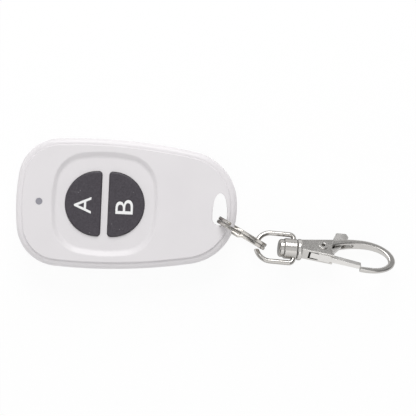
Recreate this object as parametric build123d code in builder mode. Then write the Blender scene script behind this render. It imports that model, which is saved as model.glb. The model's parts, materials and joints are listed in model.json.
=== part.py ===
from build123d import *
import math
import os

# Alarm key fob with two keys, on a split ring and a swivel clasp. Lengths are millimetres.
# The origin is the centre of the flat back. +X runs to the lanyard end, +Z out of the keys.

# The fob as a whole. The arcs of its outline are shares of its half width.
fob_length = 60.0
fob_half_width = 17.65
fob_height = 10.0
widest_share = 0.35
led_end_round_share = 3.4
led_corner_round_share = 0.65
flank_drop_share = 0.292
shoulder_round_share = 0.81
lanyard_end_round_share = 1.53
parting_height = 6.6
case_wall = 1.5
overrun = 5.0
pick_band = 0.02

# Raised face of the front cover
border_height = 9.4
border_round = 1.5
plateau_inset = 1.75
plateau_chamfer = 0.2
face_wall = 1.3
pocket_inset = 2.6

# Sunk well round the keys, placed from the lamp window's end and the fob's sides
well_setback = 24.15
well_half_length = 14.4
well_border = 3.5
well_side_round = 40.0
well_corner_round = 9.0
well_slope_x = 1.0
well_slope_y = 1.45
well_depth = 0.85
well_floor_wall = 1.2
well_floor_round = 1.0
well_rim_round = 0.6

# Keys
key_gap = 2.05
key_radius = 8.75
key_arc_offset = 0.95
key_corner_round = 0.9
key_edge_round = 0.4
key_proud = 0.6
key_clearance = 0.12
key_travel = 0.3
key_lip = 0.8
key_lip_thickness = 0.6
key_lip_clearance = 0.06

# Lanyard slot and the thin lip under it, placed from the lanyard end
slot_inset = 4.6
slot_width = 4.0
slot_length = 9.0
slot_wall = 1.2
slot_rim_round = 0.3
lip_underside = 5.3
sweep_inset = 18.0
sweep_length = 12.0

# Lamp window, at a share of the way from the fob's end to the well
window_place_share = 0.656
window_radius = 0.9
window_flange_radius = 1.6
window_flange_thickness = 0.7
window_proud = 0.03
window_drop = 1.5
window_clearance = 0.03

# Rear cover
rear_floor = 1.4
rear_edge_round = 1.2
tongue_width = 0.6
tongue_depth = 0.8
tongue_clearance = 0.1
tongue_inset = 12.0

# Cover screws and their bosses, placed from the lanyard end and the sides
screw_inset = 19.5
screw_side_inset = 6.25
screw_head_radius = 1.8
screw_head_height = 1.3
screw_head_chamfer = 0.45
screw_shank_radius = 1.1
screw_length = 6.4
screw_seat_height = 2.0
screw_clearance = 0.15
recess_arm = 1.9
recess_width = 0.55
recess_depth = 0.7
boss_radius = 2.3
boss_joint_height = 4.4
rear_boss_radius = 2.9
thread_clearance = 0.02

# Circuit board and what it carries. Insets run from an end of the fob or of the board.
board_underside = 5.0
board_thickness = 1.0
board_clearance = 0.3
board_inset = 11.2
post_radius = 1.2
post_window_inset = 7.0
post_window_y = 9.0
post_screw_offset = 1.5
post_screw_y = 5.0
switch_size = 4.5
switch_height = 0.9
switch_chamfer = 0.6
switch_leg_length = 0.8
switch_leg_width = 0.7
switch_leg_thickness = 0.2
plunger_radius = 0.9
plunger_clearance = 0.05
chip_length = 5.0
chip_width = 4.0
chip_height = 1.4
chip_edge = 0.25
chip_pitch = 1.27
chip_leg_width = 0.4
chip_leg_reach = 1.0
chip_leg_height = 0.6
chip_inset = 6.2
chip_y = -2.4
can_length = 5.0
can_width = 3.5
can_height = 1.3
can_inset = 6.2
can_y = 3.6
can_rim = 0.3
transistor_length = 2.9
transistor_width = 1.3
transistor_height = 1.0
transistor_leg = 0.45
transistor_inset = 2.1
small_chip_length = 1.6
small_chip_width = 0.8
capacitor_height = 0.8
resistor_height = 0.45
small_chip_pitch = 1.9
small_chip_inset = 11.9
small_chip_y = 6.4
antenna_inset = 3.4
antenna_width = 1.1
antenna_thickness = 0.3
antenna_reach = 12.4
led_length = 2.0
led_width = 1.25
led_base_height = 0.35
led_dome_radius = 0.55
led_dome_chamfer = 0.22

# Coin cell and its contacts
cell_middle = -5.0
cell_radius = 10.0
cell_height = 3.2
cell_cap_radius = 8.9
cell_cap_height = 0.3
cell_edge_chamfer = 0.3
pad_radius = 6.0
pad_thickness = 0.05
strap_width = 6.0
strap_thickness = 0.25
strap_clearance = 0.3
strap_round = 0.9

# Split ring: two turns of flat wire that stand upright in the slot
ring_reach = 6.2
ring_y = -6.3
ring_yaw = -28.6
ring_radius = 7.5
ring_wire_depth = 1.2
ring_wire_width = 0.95
ring_wire_chamfer = 0.2
ring_turn_gap = 0.05
ring_end_flare = 0.58
ring_free_end = 111.0
ring_flare_end = 97.0
ring_flare_start = 86.0
ring_jog_start = 124.0
ring_jog_end = 92.0
ring_inner_end = 127.0

# Swivel clasp as a whole
clasp_length = 39.1
clasp_yaw = -3.0
clasp_pitch = 5.8
hook_roll = 40.0
loop_roll = 20.0
loop_catch = 2.675

# Swivel loop
loop_width = 9.4
loop_wire_radius = 0.675
loop_arc_middle = 4.7
loop_end = 11.6
loop_corner_round = 1.2
loop_boss_radius = 2.8
loop_boss_start = 8.2
boss_edge_round = 0.35

# Swivel stud
stud_head_radius = 2.45
stud_head_length = 1.4
stud_head_round = 0.75
stud_radius = 1.15
stud_clearance = 0.05
stud_end = 14.5

# Clasp body: neck, two cheeks, spine and hook. The bow's insets run from the clasp's far end.
neck_start = 11.75
neck_end = 13.2
neck_radius = 2.9
neck_round = 0.55
cheek_start = 13.0
cheek_end = 21.9
cheek_hollow = 0.6
cheek_half_thickness = 2.0
cheek_top_start = 2.0
cheek_top_end = 3.0
cheek_bottom_start = -1.25
cheek_bottom_end = -2.5
throat_half = 1.4
throat_start = 15.0
throat_roof = 0.5
tab_slot_half = 0.75
tab_slot_start = 19.6
tab_slot_end = 27.8
crown_inset = 9.1
crown_w = 4.35
spine_root = 19.0
spine_root_w = 2.43
tip_w = -1.2
belly_inset = 6.7
belly_w = -5.55
limb_top = 1.3
limb_end = 1.8
limb_belly = 1.25
spine_root_depth = 2.5
nose_inset = 9.9
nose_inner_w = -4.36
nose_outer_w = -5.25
limb_half_thickness = 1.65
limb_far_half_thickness = 0.79
limb_thinning_w_share = 0.06
limb_edge_round = 0.34
halfway_share = 0.5

# Gate lever and its hollow rivet
pin_s = 18.9
pin_w = 0.8
pin_radius = 0.75
pin_bore_radius = 0.4
pin_clearance = 0.03
rivet_head_radius = 1.4
rivet_head_height = 0.3
rivet_edge_chamfer = 0.1
rivet_mouth = 0.25
ear_radius = 1.13
ear_half = 1.35
ear_thickness = 0.3
gate_start = 15.6
gate_nose_lap = 0.2
gate_start_w = -1.5
gate_end_w = -4.22
gate_height = 1.15
gate_web = 0.45
gate_half_start = 1.1
gate_half_end = 0.7
gate_wall = 0.3
gate_tip_wall = 0.6
bridge_start = 20.35
bridge_length = 0.7
tab_half = 0.6
tab_heel_s = 21.9
tab_heel_w = 3.9
tab_top = 6.6
tab_top_start = 23.0
tab_top_end = 25.8
tab_lip_s = 26.4
tab_lip_w = 5.4
tab_throat_s = 25.6
tab_throat_w = 3.6
tab_corner_round = 0.4

# Gate spring
spring_wire = 0.3
spring_mean_radius = 1.02
spring_pitch = 0.75
spring_turns = 2
spring_first_angle = 5.0
spring_clearance = 0.04
spring_roof_leg = 1.6

# Places that follow from the sizes above
fob_end = fob_length / 2
well_middle = well_setback - fob_end
well_half_width = fob_half_width - well_border
well_floor = fob_height - well_depth
well_underside = well_floor - well_floor_wall
plateau_underside = fob_height - face_wall
window_middle = (well_middle - well_half_length + fob_end) * window_place_share - fob_end
slot_middle = fob_end - slot_inset
sweep_start = fob_end - sweep_inset
tongue_end = fob_end - tongue_inset
screw_x = fob_end - screw_inset
screw_y = fob_half_width - screw_side_inset
screw_places = ((screw_x, screw_y), (screw_x, -screw_y))
post_window_x = post_window_inset - fob_end
post_screw_x = screw_x + post_screw_offset
post_places = ((post_window_x, post_window_y), (post_window_x, -post_window_y),
               (post_screw_x, post_screw_y), (post_screw_x, -post_screw_y))
board_top = board_underside + board_thickness
board_end = fob_end - board_inset
chip_place = (board_end - chip_inset, chip_y)
can_place = (board_end - can_inset, can_y)
transistor_x = board_end - transistor_inset
small_chip_x = board_end - small_chip_inset
antenna_end = antenna_reach - fob_end
ring_x = slot_middle + ring_reach
crown_s = clasp_length - crown_inset
belly_s = clasp_length - belly_inset
nose_start = clasp_length - nose_inset
gate_end = nose_start + gate_nose_lap
limb_thinning_s_share = (limb_half_thickness - limb_far_half_thickness) / (clasp_length - cheek_end)


def touching_circle(first, second, radius):
    """Centre of the circle that touches two larger circles from inside, right of the line between them."""
    (first_middle, first_radius), (second_middle, second_radius) = first, second
    first_reach = first_radius - radius
    second_reach = second_radius - radius
    span = second_middle - first_middle
    along = (first_reach**2 - second_reach**2 + span.length**2) / (2 * span.length)
    across = math.sqrt(first_reach**2 - along**2)
    direction = span.normalized()
    return first_middle + direction * along + Vector(direction.Y, -direction.X) * across


def five_arc_form(left, right, crown, rounds, inset, mode):
    """Face of a form whose upper half is five tangent arcs, drawn in by inset."""
    left_end = (Vector(left + rounds[0], 0), rounds[0])
    top = (Vector(crown[0], crown[1] - rounds[2]), rounds[2])
    right_end = (Vector(right - rounds[4], 0), rounds[4])
    left_corner = (touching_circle(left_end, top, rounds[1]), rounds[1])
    right_corner = (touching_circle(top, right_end, rounds[3]), rounds[3])
    joins = [Vector(left + inset, 0)]
    touching = ((left_end, left_corner), (top, left_corner), (top, right_corner), (right_end, right_corner))
    for large, small in touching:
        joins.append(large[0] + (small[0] - large[0]).normalized() * (large[1] - inset))
    joins.append(Vector(right - inset, 0))
    with BuildLine() as outline:
        arcs = (left_end, left_corner, top, right_corner, right_end)
        for (middle, radius), start, finish in zip(arcs, joins, joins[1:]):
            halfway = ((start - middle).normalized() + (finish - middle).normalized()).normalized()
            ThreePointArc(start, middle + halfway * (radius - inset), finish)
        mirror(about=Plane.XZ)
    make_face(outline.edges(), mode=mode)


def fob_form(inset=0, mode=Mode.ADD):
    """The fob's outline in the sketch that is open."""
    crown = (fob_length * widest_share - fob_end, fob_half_width)
    flank_reach = fob_end - crown[0]
    flank_drop = fob_half_width * flank_drop_share
    flank_round = (flank_reach**2 + flank_drop**2) / (2 * flank_drop)
    rounds = (fob_half_width * led_end_round_share, fob_half_width * led_corner_round_share, flank_round,
              fob_half_width * shoulder_round_share, fob_half_width * lanyard_end_round_share)
    five_arc_form(-fob_end, fob_end, crown, rounds, inset, mode)


def well_form(shrink_x=0, shrink_y=0, mode=Mode.ADD):
    """The well's outline, a square with convex sides, in the sketch that is open."""
    left = well_middle - well_half_length + shrink_x
    right = well_middle + well_half_length - shrink_x
    crown = (well_middle, well_half_width - shrink_y)
    corner = well_corner_round - (shrink_x + shrink_y) / 2
    rounds = (well_side_round, corner, well_side_round, corner, well_side_round)
    five_arc_form(left, right, crown, rounds, 0, mode)


def key_form(side, grow=0, mode=Mode.ADD):
    """A D-shaped key: a disc cut along the straight side that faces the other key."""
    flat = well_middle + side * (key_gap / 2 - grow)
    with BuildSketch() as outline:
        with Locations((well_middle + side * (key_gap / 2 + key_arc_offset), 0)):
            Circle(key_radius + grow)
        with Locations((flat - side * fob_length / 2, 0)):
            Rectangle(fob_length, fob_length, mode=Mode.SUBTRACT)
        corners = outline.vertices().filter_by_position(Axis.X, flat - pick_band, flat + pick_band)
        fillet(corners, key_corner_round + grow)
    add(outline.sketch, mode=mode)


def slot_form(grow=0, mode=Mode.ADD):
    """The lanyard slot's outline in the sketch that is open."""
    with Locations((slot_middle, 0)):
        SlotOverall(slot_length + 2 * grow, slot_width + 2 * grow, rotation=90, mode=mode)


pieces = {}

# Front cover: border, raised plateau, sunk well, key and window holes, slot tube, tongue and bosses
with BuildPart() as front_cover:
    with BuildSketch(Plane.XY.offset(parting_height)):
        fob_form()
    extrude(amount=border_height - parting_height)
    fillet(front_cover.edges().group_by(Axis.Z)[-1], border_round)
    with BuildSketch(Plane.XY.offset(plateau_underside)):
        fob_form(plateau_inset)
    extrude(amount=fob_height - plateau_underside)
    chamfer(front_cover.edges().group_by(Axis.Z)[-1], plateau_chamfer)
    with BuildSketch(Plane.XY.offset(parting_height)):
        slot_form()
    extrude(amount=fob_height - parting_height, mode=Mode.SUBTRACT)
    top_edges = front_cover.edges().filter_by_position(Axis.Z, fob_height - pick_band, fob_height + pick_band)
    across_slot = slot_width / 2 + pick_band
    along_slot = slot_length / 2 + pick_band
    slot_edges = top_edges.filter_by_position(Axis.X, slot_middle - across_slot, slot_middle + across_slot)
    fillet(slot_edges.filter_by_position(Axis.Y, -along_slot, along_slot), slot_rim_round)
    with BuildSketch(Plane.XY.offset(fob_height)):
        well_form()
    with BuildSketch(Plane.XY.offset(well_floor)):
        well_form(well_slope_x, well_slope_y)
    loft(mode=Mode.SUBTRACT)
    floor_edges = front_cover.edges().filter_by_position(Axis.Z, well_floor - pick_band, well_floor + pick_band)
    fillet(floor_edges, well_floor_round)
    face_edges = front_cover.edges().filter_by_position(Axis.Z, fob_height - pick_band, fob_height + pick_band)
    rim_edges = [edge for edge in face_edges if abs(edge.center().X - well_middle) < well_half_length
                 and abs(edge.center().Y) < well_half_width + pick_band]
    fillet(rim_edges, well_rim_round)
    with BuildSketch(Plane.XY.offset(parting_height)):
        fob_form(case_wall)
        slot_form(slot_wall, Mode.SUBTRACT)
    extrude(amount=well_underside - parting_height, mode=Mode.SUBTRACT)
    with BuildSketch(Plane.XY.offset(well_underside)):
        fob_form(pocket_inset)
        well_form(-face_wall, -face_wall, Mode.SUBTRACT)
        slot_form(slot_wall, Mode.SUBTRACT)
    extrude(amount=plateau_underside - well_underside, mode=Mode.SUBTRACT)
    for side in (-1, 1):
        with BuildSketch(Plane.XY.offset(well_underside)):
            key_form(side, key_clearance)
        extrude(amount=well_floor_wall, mode=Mode.SUBTRACT)
    with BuildSketch(Plane.XY.offset(plateau_underside)):
        with Locations((window_middle, 0)):
            Circle(window_radius + window_clearance)
    extrude(amount=face_wall, mode=Mode.SUBTRACT)
    with BuildSketch(Plane.XY.offset(parting_height - tongue_depth)):
        fob_form(case_wall - tongue_width)
        fob_form(case_wall, Mode.SUBTRACT)
        with Locations((tongue_end, 0)):
            Rectangle(fob_length, fob_length, align=(Align.MIN, Align.CENTER), mode=Mode.SUBTRACT)
    extrude(amount=tongue_depth)
    with BuildSketch(Plane.XY.offset(boss_joint_height)):
        with Locations(*screw_places):
            Circle(boss_radius)
    extrude(amount=plateau_underside - boss_joint_height)
    with BuildSketch(Plane.XY.offset(boss_joint_height)):
        with Locations(*screw_places):
            Circle(screw_shank_radius + thread_clearance)
    extrude(amount=screw_seat_height + screw_length - boss_joint_height + thread_clearance, mode=Mode.SUBTRACT)
pieces["front_cover"] = front_cover.part


def swept_underside(lift):
    """Closed profile under the back's S-curve, raised by lift: two tangent arcs up to the lanyard lip."""
    start = (sweep_start, lift)
    finish = (sweep_start + sweep_length, lip_underside + lift)
    middle = ((start[0] + finish[0]) / 2, (start[1] + finish[1]) / 2)
    with BuildLine() as profile:
        rise = TangentArc(start, middle, tangent=(1, 0))
        TangentArc(middle, finish, tangent=rise % 1)
        Polyline(finish, (fob_length, finish[1]), (fob_length, -overrun), (sweep_start, -overrun), start)
    make_face(profile.edges())


# Space inside the rear cover
with BuildPart() as rear_space:
    with BuildSketch(Plane.XY.offset(rear_floor)):
        fob_form(case_wall)
    extrude(amount=parting_height - rear_floor)
    with BuildSketch(Plane.XZ.offset(-fob_half_width)):
        swept_underside(rear_floor)
    extrude(amount=2 * fob_half_width, mode=Mode.SUBTRACT)

# Rear cover: flat back that sweeps up to the thin lanyard lip, with posts, bosses and counterbores
with BuildPart() as rear_cover:
    with BuildSketch():
        fob_form()
    extrude(amount=parting_height)
    with BuildSketch(Plane.XZ.offset(-fob_half_width - overrun)):
        swept_underside(0)
    extrude(amount=2 * (fob_half_width + overrun), mode=Mode.SUBTRACT)
    low_edges = [edge for edge in rear_cover.edges() if edge.geom_type != GeomType.LINE
                 and edge.bounding_box().max.Z < lip_underside + pick_band]
    fillet(low_edges, rear_edge_round)
    add(rear_space.part, mode=Mode.SUBTRACT)
    with BuildSketch(Plane.XY.offset(parting_height)):
        fob_form(case_wall - tongue_width - tongue_clearance)
        fob_form(case_wall, Mode.SUBTRACT)
        with Locations((tongue_end + tongue_clearance, 0)):
            Rectangle(fob_length, fob_length, align=(Align.MIN, Align.CENTER), mode=Mode.SUBTRACT)
    extrude(amount=-tongue_depth - tongue_clearance, mode=Mode.SUBTRACT)
    with BuildSketch(Plane.XY.offset(rear_floor)):
        with Locations(*screw_places):
            Circle(rear_boss_radius)
    extrude(amount=boss_joint_height - rear_floor)
    with BuildSketch(Plane.XY.offset(rear_floor)):
        with Locations(*post_places):
            Circle(post_radius)
    extrude(amount=board_underside - rear_floor)
    with BuildSketch():
        with Locations(*screw_places):
            Circle(screw_head_radius + screw_clearance)
    extrude(amount=screw_seat_height, mode=Mode.SUBTRACT)
    with BuildSketch():
        with Locations(*screw_places):
            Circle(screw_shank_radius + screw_clearance)
    extrude(amount=boss_joint_height, mode=Mode.SUBTRACT)
    with BuildSketch():
        slot_form()
    extrude(amount=parting_height, mode=Mode.SUBTRACT)
pieces["rear_cover"] = rear_cover.part

# Cover screws: pan heads with a cross recess
with BuildPart() as cover_screws:
    with BuildSketch(Plane.XY.offset(screw_seat_height - screw_head_height)):
        with Locations(*screw_places):
            Circle(screw_head_radius)
    extrude(amount=screw_head_height)
    chamfer(cover_screws.edges().group_by(Axis.Z)[0], screw_head_chamfer)
    with BuildSketch(Plane.XY.offset(screw_seat_height)):
        with Locations(*screw_places):
            Circle(screw_shank_radius)
    extrude(amount=screw_length)
    with BuildSketch(Plane.XY.offset(screw_seat_height - screw_head_height)):
        with Locations(*screw_places):
            Rectangle(recess_arm, recess_width)
            Rectangle(recess_width, recess_arm)
    extrude(amount=recess_depth, mode=Mode.SUBTRACT)
pieces["cover_screws"] = cover_screws.part

# Lamp window: a light pipe held by its flange under the plateau
with BuildPart() as led_lens:
    with BuildSketch(Plane.XY.offset(plateau_underside - window_drop)):
        with Locations((window_middle, 0)):
            Circle(window_radius)
    extrude(amount=fob_height + window_proud - plateau_underside + window_drop)
    with BuildSketch(Plane.XY.offset(plateau_underside - window_flange_thickness)):
        with Locations((window_middle, 0)):
            Circle(window_flange_radius)
    extrude(amount=window_flange_thickness)
pieces["led_lens"] = led_lens.part


def key_solid(side):
    """A key cap with the lip that keeps it in the cover."""
    lip_top = well_underside - key_lip_clearance
    with BuildPart() as key:
        with BuildSketch(Plane.XY.offset(lip_top - key_lip_thickness)):
            key_form(side, key_lip)
        extrude(amount=key_lip_thickness)
        with BuildSketch(Plane.XY.offset(lip_top)):
            key_form(side)
        extrude(amount=well_floor + key_proud - lip_top)
        fillet(key.edges().group_by(Axis.Z)[-1], key_edge_round)
    return key.part


def switch_solids(middle):
    """A low tact switch under a key, and its plunger, which reaches the key's lip."""
    key_underside = well_underside - key_lip_clearance - key_lip_thickness
    plunger_underside = board_top + switch_leg_thickness + key_travel + plunger_clearance
    with BuildPart() as base:
        with BuildSketch(Plane.XY.offset(board_top)):
            with Locations((middle, 0)):
                Rectangle(switch_size, switch_size)
        extrude(amount=switch_height)
        chamfer(base.edges().filter_by(Axis.Z), switch_chamfer)
        with BuildSketch(Plane.XY.offset(board_top)):
            with Locations((middle, 0)):
                with GridLocations(switch_size + switch_leg_length, switch_size / 2, 2, 2):
                    Rectangle(switch_leg_length, switch_leg_width)
        extrude(amount=switch_leg_thickness)
        with BuildSketch(Plane.XY.offset(board_top + switch_leg_thickness)):
            with Locations((middle, 0)):
                Circle(plunger_radius + plunger_clearance)
        extrude(amount=switch_height, mode=Mode.SUBTRACT)
    with BuildPart() as plunger:
        with BuildSketch(Plane.XY.offset(plunger_underside)):
            with Locations((middle, 0)):
                Circle(plunger_radius)
        extrude(amount=key_underside - plunger_underside)
    return base.part, plunger.part


# Keys with their switches
for letter, side in (("a", -1), ("b", 1)):
    pieces["button_" + letter] = key_solid(side)
    switch_middle = well_middle + side * (key_gap + key_radius) / 2
    base, plunger = switch_solids(switch_middle)
    pieces["switch_" + letter + "_base"] = base
    pieces["switch_" + letter + "_plunger"] = plunger

# Circuit board, notched for the bosses
with BuildPart() as circuit_board:
    with BuildSketch(Plane.XY.offset(board_underside)):
        fob_form(case_wall + board_clearance)
        with Locations((board_end, 0)):
            Rectangle(fob_length, fob_length, align=(Align.MIN, Align.CENTER), mode=Mode.SUBTRACT)
        with Locations(*screw_places):
            Circle(boss_radius + board_clearance, mode=Mode.SUBTRACT)
    extrude(amount=board_thickness)
pieces["circuit_board"] = circuit_board.part

# Status LED: a base and a small dome under the light pipe
with BuildPart() as status_led:
    with BuildSketch(Plane.XY.offset(board_top)):
        with Locations((window_middle, 0)):
            Rectangle(led_length, led_width)
    extrude(amount=led_base_height)
    with BuildSketch(Plane.XY.offset(board_top + led_base_height)):
        with Locations((window_middle, 0)):
            Circle(led_dome_radius)
    extrude(amount=led_dome_radius)
    chamfer(status_led.edges().group_by(Axis.Z)[-1], led_dome_chamfer)
pieces["status_led"] = status_led.part

# Encoder chip with four legs on each long side
with BuildPart() as encoder_chip:
    with BuildSketch(Plane.XY.offset(board_top)):
        with Locations(chip_place):
            Rectangle(chip_length, chip_width)
    extrude(amount=chip_height)
    chamfer(encoder_chip.edges().group_by(Axis.Z)[-1], chip_edge)
    with BuildSketch(Plane.XY.offset(board_top)):
        with Locations(chip_place):
            with GridLocations(chip_pitch, chip_width + chip_leg_reach, 4, 2):
                Rectangle(chip_leg_width, chip_leg_reach)
    extrude(amount=chip_leg_height)
pieces["encoder_chip"] = encoder_chip.part

# Resonator can with its welded rim
with BuildPart() as saw_resonator:
    with BuildSketch(Plane.XY.offset(board_top)):
        with Locations(can_place):
            RectangleRounded(can_length, can_width, can_rim)
    extrude(amount=can_rim)
    with BuildSketch(Plane.XY.offset(board_top + can_rim)):
        with Locations(can_place):
            RectangleRounded(can_length - 2 * can_rim, can_width - 2 * can_rim, can_rim)
    extrude(amount=can_height - can_rim)
    chamfer(saw_resonator.edges().group_by(Axis.Z)[-1], can_rim / 2)
pieces["saw_resonator"] = saw_resonator.part

# Radio transistor with three legs
with BuildPart() as rf_transistor:
    with BuildSketch(Plane.XY.offset(board_top)):
        with Locations((transistor_x, 0)):
            Rectangle(transistor_width, transistor_length)
    extrude(amount=transistor_height)
    chamfer(rf_transistor.edges().group_by(Axis.Z)[-1], transistor_leg / 2)
    leg_x = (transistor_width + transistor_leg) / 2
    leg_places = ((transistor_x - leg_x, transistor_length / 3), (transistor_x - leg_x, -transistor_length / 3),
                  (transistor_x + leg_x, 0))
    with BuildSketch(Plane.XY.offset(board_top)):
        with Locations(*leg_places):
            Rectangle(transistor_leg, transistor_leg)
    extrude(amount=transistor_height / 2)
pieces["rf_transistor"] = rf_transistor.part


def chip_row(middle, height):
    """A row of small two-ended chips on the board."""
    with BuildPart() as row:
        with BuildSketch(Plane.XY.offset(board_top)):
            with Locations(middle):
                with GridLocations(0, small_chip_pitch, 1, 4):
                    Rectangle(small_chip_length, small_chip_width)
        extrude(amount=height)
    return row.part


pieces["chip_capacitors"] = chip_row((small_chip_x, small_chip_y), capacitor_height)
pieces["chip_resistors"] = chip_row((small_chip_x, -small_chip_y), resistor_height)

# Loop antenna: a flat copper strip round the window's end of the board
with BuildPart() as loop_antenna:
    with BuildSketch(Plane.XY.offset(board_top)):
        fob_form(antenna_inset)
        fob_form(antenna_inset + antenna_width, Mode.SUBTRACT)
        with Locations((antenna_end, 0)):
            Rectangle(fob_length * 2, fob_length, align=(Align.MIN, Align.CENTER), mode=Mode.SUBTRACT)
    extrude(amount=antenna_thickness)
pieces["loop_antenna"] = loop_antenna.part

cell_top = board_underside - pad_thickness
cell_base = cell_top - cell_height

# Coin cell: the can, and the smaller cap that meets the board's pad
with BuildPart() as battery_cell:
    with BuildSketch(Plane.XY.offset(cell_base)):
        with Locations((cell_middle, 0)):
            Circle(cell_radius)
    extrude(amount=cell_height - cell_cap_height)
    chamfer(battery_cell.edges().group_by(Axis.Z)[0], cell_edge_chamfer)
    with BuildSketch(Plane.XY.offset(cell_top - cell_cap_height)):
        with Locations((cell_middle, 0)):
            Circle(cell_cap_radius)
    extrude(amount=cell_cap_height)
pieces["battery_cell"] = battery_cell.part

with BuildPart() as battery_negative_pad:
    with BuildSketch(Plane.XY.offset(cell_top)):
        with Locations((cell_middle, 0)):
            Circle(pad_radius)
    extrude(amount=pad_thickness)
pieces["battery_negative_pad"] = battery_negative_pad.part

# Battery clip: a steel strap under the cell, with a leg up to the board on each side
strap_half = cell_radius + strap_clearance + strap_thickness
with BuildPart() as battery_clip:
    with BuildSketch(Plane.YZ.offset(cell_middle - strap_width / 2)):
        with BuildLine():
            FilletPolyline((-strap_half, board_underside), (-strap_half, cell_base - strap_thickness),
                           (strap_half, cell_base - strap_thickness), (strap_half, board_underside),
                           radius=strap_round)
            offset(amount=-strap_thickness, side=Side.LEFT)
        make_face()
    extrude(amount=strap_width)
pieces["battery_clip"] = battery_clip.part


# Split ring. Places round it are angles in its own upright plane, from the clasp's side over the top.
ring_direction = Vector(1, 0, 0).rotate(Axis.Z, ring_yaw)
ring_normal = ring_direction.cross(Vector(0, 0, 1))
ring_plane = Plane(origin=(ring_x, ring_y, ring_radius), x_dir=ring_direction, z_dir=ring_normal)
ring_axis = Axis(ring_plane.origin, ring_plane.z_dir)
ring_mean_radius = ring_radius - ring_wire_depth / 2
ring_level = (ring_wire_width + ring_turn_gap) / 2


def ring_station(angle, level):
    """Plane across the wire at an angle round the ring, at a level along the ring's axis."""
    turn = math.radians(angle)
    outward = ring_plane.x_dir * math.cos(turn) + ring_plane.y_dir * math.sin(turn)
    along = ring_plane.y_dir * math.cos(turn) - ring_plane.x_dir * math.sin(turn)
    place = ring_plane.origin + outward * ring_mean_radius + ring_plane.z_dir * level
    return Plane(origin=place, x_dir=outward, z_dir=along)


def ring_section(angle, level):
    """The flat wire's section with its broken corners."""
    with BuildSketch(ring_station(angle, level)) as section:
        Rectangle(ring_wire_depth, ring_wire_width)
        chamfer(section.vertices(), ring_wire_chamfer)
    return section.sketch


def ring_shift(start, finish, first_level, last_level, steps=6):
    """Stations of a smooth sideways shift from one level to another."""
    stations = []
    for step in range(steps + 1):
        share = step / steps
        ease = share * share * (3 - 2 * share)
        stations.append(ring_section(start + (finish - start) * share,
                                     first_level + (last_level - first_level) * ease))
    return stations


with BuildPart() as split_ring:
    loft(ring_shift(ring_flare_end, ring_flare_start, ring_level + ring_end_flare, ring_level))
    revolve(ring_section(ring_free_end, ring_level + ring_end_flare), axis=ring_axis,
            revolution_arc=ring_flare_end - ring_free_end)
    revolve(ring_section(ring_flare_start, ring_level), axis=ring_axis,
            revolution_arc=ring_jog_start - 360 - ring_flare_start)
    loft(ring_shift(ring_jog_start, ring_jog_end, ring_level, -ring_level))
    revolve(ring_section(ring_jog_end, -ring_level), axis=ring_axis,
            revolution_arc=ring_inner_end - 360 - ring_jog_end)
pieces["split_ring"] = split_ring.part

# Clasp frame: s runs along the clasp, w towards its spine, n out of the cheek that faces up
clasp_side = Vector(0, 1, 0).rotate(Axis.Z, clasp_yaw)
clasp_level = Vector(1, 0, 0).rotate(Axis.Z, clasp_yaw)
pitch = math.radians(clasp_pitch)
clasp_direction = clasp_level * math.cos(pitch) - Vector(0, 0, 1) * math.sin(pitch)
clasp_up = clasp_direction.cross(clasp_side)
ring_catch = ring_plane.origin + ring_direction * ring_mean_radius
clasp_origin = ring_catch - clasp_direction * loop_catch


def rolled_plane(roll):
    """The clasp's plane turned about its long axis."""
    turn = math.radians(roll)
    normal = clasp_side * math.sin(turn) + clasp_up * math.cos(turn)
    return Plane(origin=clasp_origin, x_dir=clasp_direction, z_dir=normal)


loop_plane = rolled_plane(loop_roll)
hook_plane = rolled_plane(hook_roll)


def across(plane, s):
    """Plane square to the clasp's long axis at s, with its x along w."""
    return Plane(origin=plane.from_local_coords(Vector(s, 0, 0)), x_dir=plane.y_dir, z_dir=plane.x_dir)


# Swivel loop: a bent eye with a boss for the stud
loop_middle = loop_width / 2 - loop_wire_radius
loop_back = loop_end - loop_wire_radius
with BuildPart() as swivel_loop:
    with BuildLine(loop_plane):
        FilletPolyline((loop_back, 0), (loop_back, loop_middle), (loop_arc_middle, loop_middle),
                       radius=loop_corner_round)
        ThreePointArc((loop_arc_middle, loop_middle), (loop_arc_middle - loop_middle, 0),
                      (loop_arc_middle, -loop_middle))
        FilletPolyline((loop_arc_middle, -loop_middle), (loop_back, -loop_middle), (loop_back, 0),
                       radius=loop_corner_round)
    with BuildSketch(Plane(origin=loop_plane.from_local_coords(Vector(loop_back, 0, 0)),
                           x_dir=loop_plane.x_dir, z_dir=loop_plane.y_dir)):
        Circle(loop_wire_radius)
    sweep()
    with BuildSketch(across(loop_plane, loop_boss_start)) as boss_face:
        Circle(loop_boss_radius)
    extrude(amount=loop_end - loop_boss_start)
    fillet(swivel_loop.edges().filter_by(GeomType.CIRCLE).sort_by_distance(boss_face.sketch.center())[0],
           boss_edge_round)
    with BuildSketch(across(loop_plane, loop_boss_start)):
        Circle(stud_radius + stud_clearance)
    extrude(amount=loop_end, both=True, mode=Mode.SUBTRACT)
pieces["swivel_loop"] = swivel_loop.part

# Swivel stud: a domed head inside the loop, and the shank that holds the hook
head_end = loop_boss_start - stud_clearance
with BuildPart() as swivel_stud:
    with BuildSketch(across(loop_plane, head_end)):
        Circle(stud_head_radius)
    extrude(amount=-stud_head_length)
    head_face = swivel_stud.faces().sort_by(Axis(clasp_origin, clasp_direction))[0]
    fillet(head_face.edges(), stud_head_round)
    with BuildSketch(across(loop_plane, head_end)):
        Circle(stud_radius)
    extrude(amount=stud_end - head_end)
pieces["swivel_stud"] = swivel_stud.part


# Neck bead behind the loop
with BuildPart() as neck_bead:
    with BuildSketch(across(hook_plane, neck_start)):
        Circle(neck_radius)
    extrude(amount=neck_end - neck_start)
    fillet(neck_bead.edges().filter_by(GeomType.CIRCLE), neck_round)

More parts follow.
